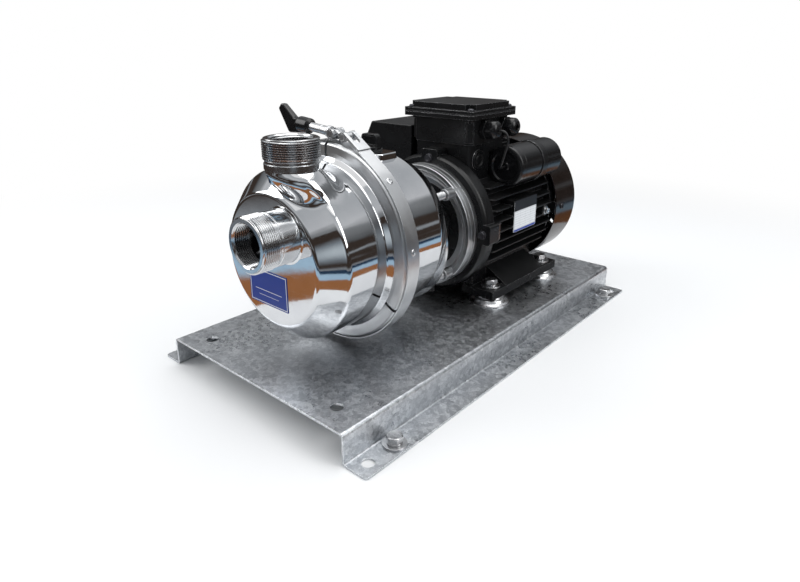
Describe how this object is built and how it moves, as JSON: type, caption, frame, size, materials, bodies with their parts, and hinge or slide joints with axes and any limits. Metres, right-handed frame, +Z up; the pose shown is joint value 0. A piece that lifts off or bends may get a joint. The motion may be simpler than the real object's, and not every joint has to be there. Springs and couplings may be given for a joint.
{
  "type": "chemical pump",
  "caption": "Self-priming chemical pump on a folded base plate, its polished casing held by a lever band clamp and driven by a finned foot-mounted motor.",
  "frame": {"origin": "On the floor at the centre of the base plate's four fixing holes", "axes": "+Y along the shaft from the suction port towards the motor, +Z up, the discharge port's way out, +X across to the side with the rating plate"},
  "size_m": [0.36, 0.6046, 0.3162],
  "materials": {
    "galvanised_steel": "galvanised sheet with a mottled grey-blue spangle",
    "zinc": "bright zinc plating",
    "polished_stainless": "mirror-polished stainless steel",
    "machined_stainless": "turned stainless steel",
    "brushed_stainless": "brushed stainless steel strip",
    "cast_aluminium": "bare cast aluminium with a turned rim",
    "black_paint": "semi-gloss black paint on a casting",
    "cowl_paint": "gloss black paint on sheet steel",
    "black_plastic": "gloss black plastic",
    "capacitor_plastic": "gloss black moulded can",
    "lead_rubber": "smooth black sheath",
    "rubber": "black rubber",
    "dark_steel": "dark oiled steel",
    "shaft_steel": "ground steel",
    "core_steel": "stacked steel sheets",
    "copper": "varnished copper wire",
    "seal_face": "lapped seal ring",
    "label_blue": "bare blue plate",
    "plate_silver": "bare aluminium plate"
  },
  "bodies": {
    "pump_set": {"adapter_plate": "machined_stainless", "base_plate": "galvanised_steel", "base_washers": "zinc", "bearing_outer_rings": "shaft_steel", "box_gasket": "rubber", "box_lid": "black_paint", "capacitor": "capacitor_plastic", "capacitor_clip": "zinc", "capacitor_lead": "lead_rubber", "casing_gasket": "rubber", "clamp_retainers": "brushed_stainless", "clamp_rivets": "brushed_stainless", "clamp_strap": "brushed_stainless", "clamp_trunnion": "brushed_stainless", "column_nuts": "zinc", "column_studs": "dark_steel", "discharge_nipple": "machined_stainless", "earth_terminal": "zinc", "fan_cowl": "cowl_paint", "flange_bolts": "zinc", "flange_ring": "cast_aluminium", "foot_bolts": "zinc", "foot_mounts": "zinc", "foot_nuts": "zinc", "front_shield": "black_paint", "gland_bodies": "black_plastic", "gland_nuts": "black_plastic", "label_plate": "label_blue", "motor_feet": "black_paint", "motor_frame": "black_paint", "motor_screws": "dark_steel", "mount_rubbers": "rubber", "pump_casing": "polished_stainless", "rating_plate": "plate_silver", "rear_casing": "polished_stainless", "rear_shield": "black_paint", "seal_carrier": "machined_stainless", "seal_stationary": "seal_face", "stator_core": "core_steel", "strap_loops": "brushed_stainless", "suction_nipple": "machined_stainless", "switch_box": "black_paint", "terminal_block": "black_plastic", "terminal_box": "black_paint", "volute_ring": "machined_stainless", "windings": "copper"},
    "rotor": {"shaft": "shaft_steel", "impeller_key": "shaft_steel", "impeller": "machined_stainless", "impeller_nut": "machined_stainless", "seal_rotating": "seal_face", "bearing_inner_rings": "shaft_steel", "rotor_core": "core_steel", "fan": "cast_aluminium"},
    "t_bolt": {"t_bolt": "brushed_stainless"},
    "thrust_washer": {"thrust_washer": "brushed_stainless"},
    "lever": {"lever_hub": "brushed_stainless", "clamp_lever": "black_plastic"},
    "plug_seat": {"plug_washer": "rubber"},
    "plug": {"filler_plug": "black_plastic"}
  },
  "joints": [
    {"name": "rotor_spin", "type": "hinge", "parent": "pump_set", "child": "rotor", "pos_m": [0, 0, 0.146], "axis": [0, 1, 0], "continuous": true},
    {"name": "t_bolt_swing", "type": "hinge", "parent": "pump_set", "child": "t_bolt", "pos_m": [0.024, -0.161, 0.2869], "axis": [0, 1, 0], "range_deg": [0, 100]},
    {"name": "thrust_slide", "type": "slide", "parent": "t_bolt", "child": "thrust_washer", "axis": [-0.9957, 0, 0.0924], "range_m": [0, 0.0121]},
    {"name": "lever_turn", "type": "hinge", "parent": "thrust_washer", "child": "lever", "pos_m": [0.024, -0.161, 0.2869], "axis": [-0.9957, 0, 0.0924], "range_deg": [0, 3456]},
    {"name": "plug_lift", "type": "slide", "parent": "pump_set", "child": "plug_seat", "axis": [0, 0, 1], "range_m": [0, 0.0125]},
    {"name": "plug_turn", "type": "hinge", "parent": "plug_seat", "child": "plug", "pos_m": [0, -0.1, 0.2615], "axis": [0, 0, 1], "range_deg": [0, 2382]}
  ],
  "couplings": [
    {"joint": "thrust_slide", "follows": "lever_turn", "m_per_rad": 0.00019894},
    {"joint": "plug_lift", "follows": "plug_turn", "m_per_rad": 0.00028871}
  ]
}
